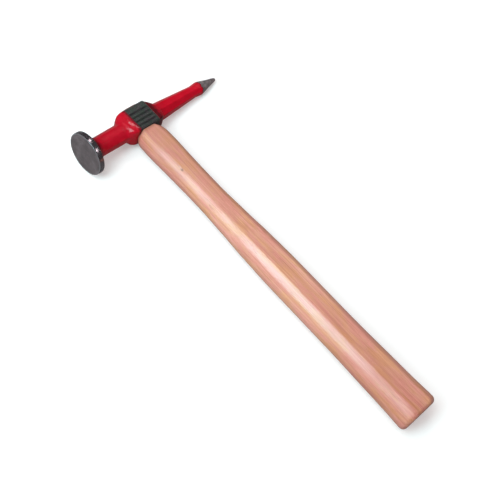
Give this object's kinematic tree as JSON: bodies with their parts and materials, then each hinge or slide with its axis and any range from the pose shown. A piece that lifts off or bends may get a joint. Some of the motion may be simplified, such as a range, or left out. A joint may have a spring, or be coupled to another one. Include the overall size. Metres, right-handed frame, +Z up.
{
  "type": "panel beating pick hammer",
  "caption": "Body worker's hammer with a round flat striking face, a ribbed eye block, a tapering ground pick and a straight hickory handle, lying on its side.",
  "frame": {"origin": "middle of the footprint of the hammer's bounding box, on the surface it lies on", "axes": "+X from the head to the butt of the handle, +Y from the striking face to the pick, +Z up; the head is rolled 6.0 degrees, as it lies on the disc's rim, the pick's swelling and the butt"},
  "size_m": [0.3362, 0.142, 0.0366],
  "materials": {
    "head_enamel": "glossy red enamel on forged steel, with the face, the rim and the point ground bright and the ribbed band left dark",
    "handle_wood": "satin lacquered hickory",
    "wedge_wood": "bare sawn hardwood",
    "wedge_steel": "plain rolled steel"
  },
  "bodies": {
    "root": {"head": "head_enamel", "handle": "handle_wood", "kerf_wedge": "wedge_wood", "steel_wedge": "wedge_steel"}
  },
  "joints": []
}
